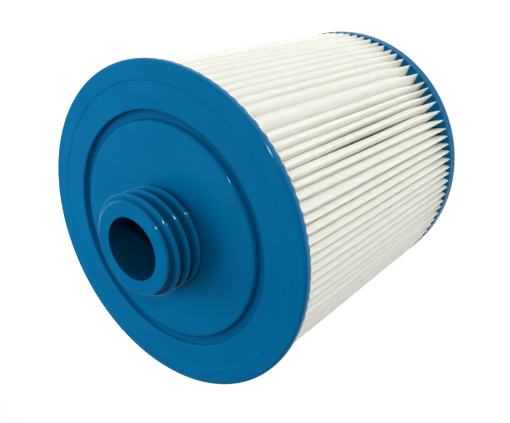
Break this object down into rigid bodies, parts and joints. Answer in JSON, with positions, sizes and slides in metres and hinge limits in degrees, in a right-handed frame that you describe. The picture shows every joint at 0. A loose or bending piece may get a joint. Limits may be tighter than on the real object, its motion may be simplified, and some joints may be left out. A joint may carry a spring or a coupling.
{
  "type": "spa filter cartridge",
  "caption": "Pleated cylindrical filter cartridge with a flanged end cap, a coarse-threaded flow nipple and a closed end with a recessed grip.",
  "frame": {"origin": "centre of the closed end's underside, where the cartridge stands", "axes": "+Z along the cartridge's axis, from the closed end towards the threaded nipple; +X and +Y across it, with the grip bar along Y"},
  "size_m": [0.152, 0.152, 0.1792],
  "materials": {
    "moulded_blue": "glossy injection-moulded ABS",
    "cast_blue": "glossy cast urethane",
    "core_white": "satin moulded polypropylene",
    "filter_fabric": "matte calendered spunbond polyester",
    "hot_melt": "translucent hot-melt adhesive"
  },
  "bodies": {
    "root": {"threaded_nipple": "moulded_blue", "insert_plate": "moulded_blue", "flange_end_cap": "cast_blue", "core_tube": "core_white", "pleated_media": "filter_fabric", "seam_bead": "hot_melt", "closed_end_cap": "cast_blue", "handle_insert": "moulded_blue"}
  },
  "joints": []
}
